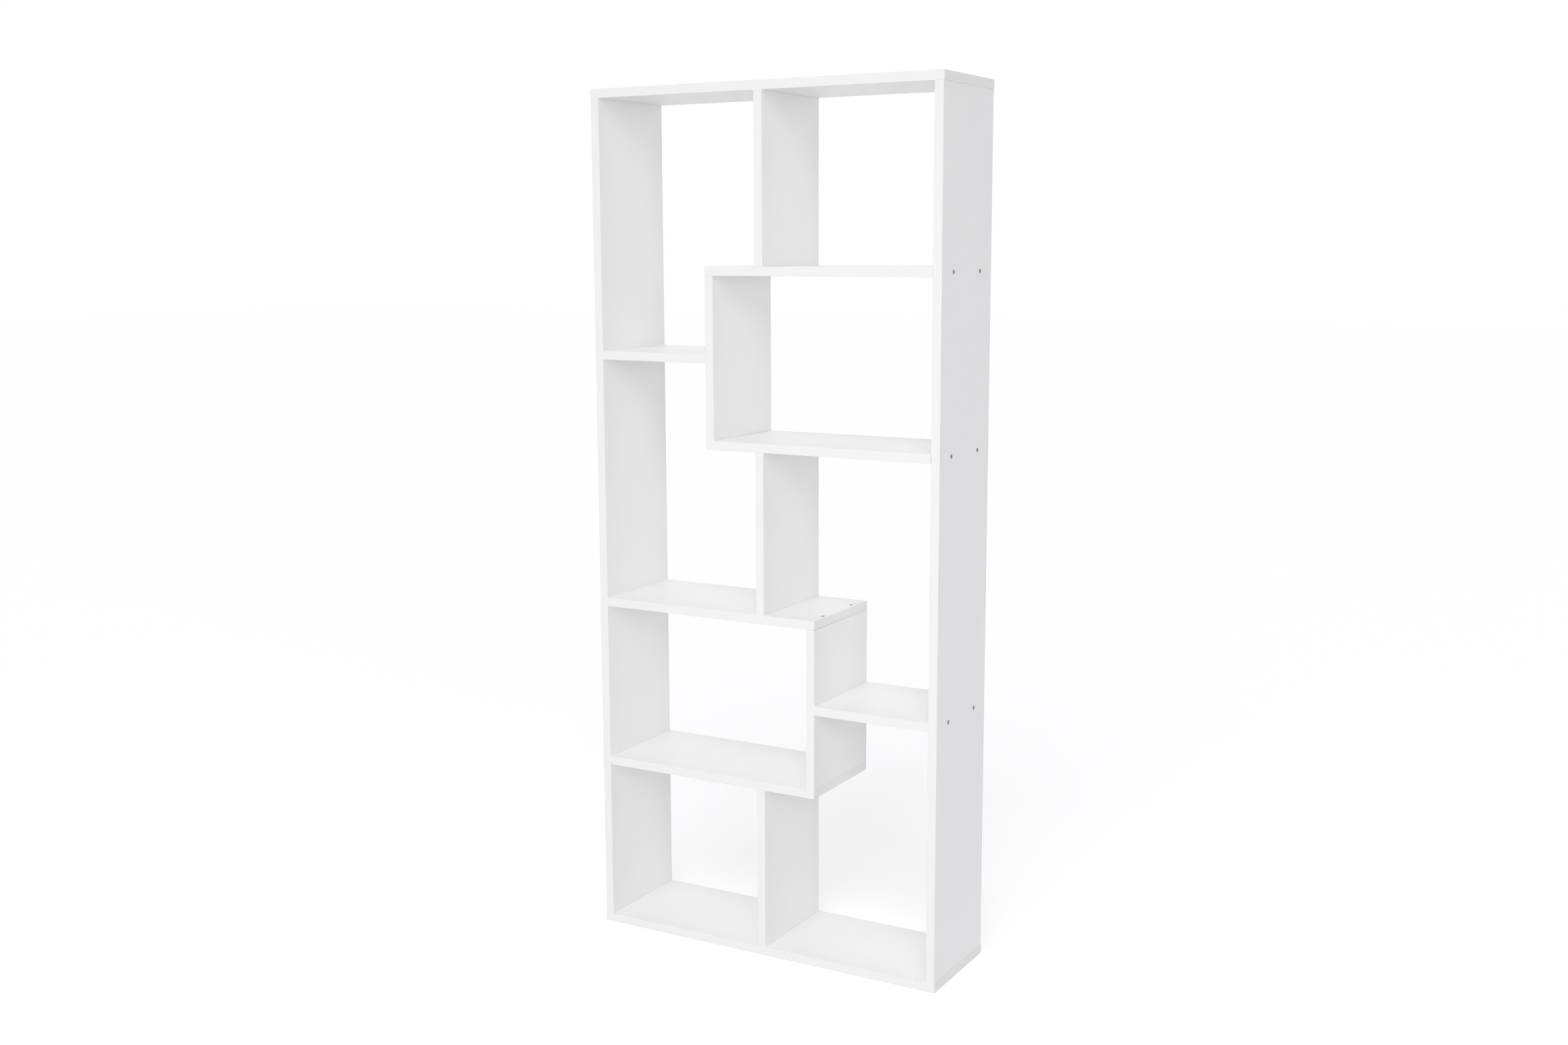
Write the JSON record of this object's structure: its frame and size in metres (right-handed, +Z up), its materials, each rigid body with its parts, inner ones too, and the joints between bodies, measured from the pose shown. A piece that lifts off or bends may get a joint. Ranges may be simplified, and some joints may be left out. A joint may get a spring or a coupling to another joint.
{
  "type": "staircase bookshelf",
  "caption": "Tall open bookcase of edge-banded white boards, its shelves and uprights stepping across the centre line, joined with recessed screws and dowels.",
  "frame": {"origin": "on the floor, at the middle of the footprint", "axes": "+X to the right seen from the front, +Y to the back, +Z up"},
  "size_m": [0.812, 0.24, 1.83],
  "materials": {
    "white_melamine_board": "satin white melamine paper on chipboard",
    "white_edge_band": "satin white plastic banding with rounded arrises",
    "zinc_plated_steel": "bright zinc plate",
    "beech": "unfinished turned beech"
  },
  "bodies": {
    "root": {"bottom_panel": "white_melamine_board", "bottom_panel_edging": "white_edge_band", "bottom_panel_screws": "zinc_plated_steel", "left_shelf_lower": "white_melamine_board", "left_shelf_lower_edging": "white_edge_band", "left_shelf_lower_screws": "zinc_plated_steel", "left_shelf_upper": "white_melamine_board", "left_shelf_upper_edging": "white_edge_band", "left_shelf_upper_screws": "zinc_plated_steel", "left_side": "white_melamine_board", "left_side_edging": "white_edge_band", "left_side_screws": "zinc_plated_steel", "left_upright": "white_melamine_board", "left_upright_edging": "white_edge_band", "lower_divider": "white_melamine_board", "lower_divider_dowels": "beech", "lower_divider_edging": "white_edge_band", "middle_divider": "white_melamine_board", "middle_divider_dowels": "beech", "middle_divider_edging": "white_edge_band", "right_shelf_lower": "white_melamine_board", "right_shelf_lower_edging": "white_edge_band", "right_shelf_lower_screws": "zinc_plated_steel", "right_shelf_upper": "white_melamine_board", "right_shelf_upper_edging": "white_edge_band", "right_shelf_upper_screws": "zinc_plated_steel", "right_side": "white_melamine_board", "right_side_edging": "white_edge_band", "right_side_screws": "zinc_plated_steel", "right_upright": "white_melamine_board", "right_upright_edging": "white_edge_band", "short_left_shelf": "white_melamine_board", "short_left_shelf_dowels": "beech", "short_left_shelf_edging": "white_edge_band", "short_right_shelf": "white_melamine_board", "short_right_shelf_dowels": "beech", "short_right_shelf_edging": "white_edge_band", "top_panel": "white_melamine_board", "top_panel_edging": "white_edge_band", "top_panel_screws": "zinc_plated_steel", "upper_divider": "white_melamine_board", "upper_divider_dowels": "beech", "upper_divider_edging": "white_edge_band"}
  },
  "joints": []
}
